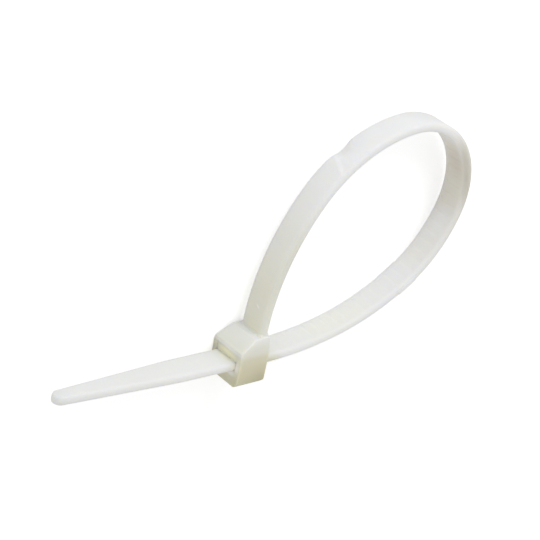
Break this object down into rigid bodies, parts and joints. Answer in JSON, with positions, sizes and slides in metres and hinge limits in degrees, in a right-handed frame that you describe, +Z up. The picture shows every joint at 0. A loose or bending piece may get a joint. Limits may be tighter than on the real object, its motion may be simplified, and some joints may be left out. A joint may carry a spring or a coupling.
{
  "type": "cable tie",
  "caption": "One-piece nylon cable tie, closed into a loop through its own ratchet head, with a free tail. Bundles and holds cables.",
  "frame": {"origin": "on the floor, under the middle of the slot through the head", "axes": "+X from the head into the loop, along the strap in the slot; +Y towards the side of the head where the strap's root leaves it; +Z up, across the width of the strap, with the tie lying on its side"},
  "size_m": [0.0378, 0.0204, 0.0035],
  "materials": {
    "nylon": "natural milky nylon, satin, slightly translucent"
  },
  "bodies": {
    "root": {"cable_tie": "nylon"}
  },
  "joints": []
}
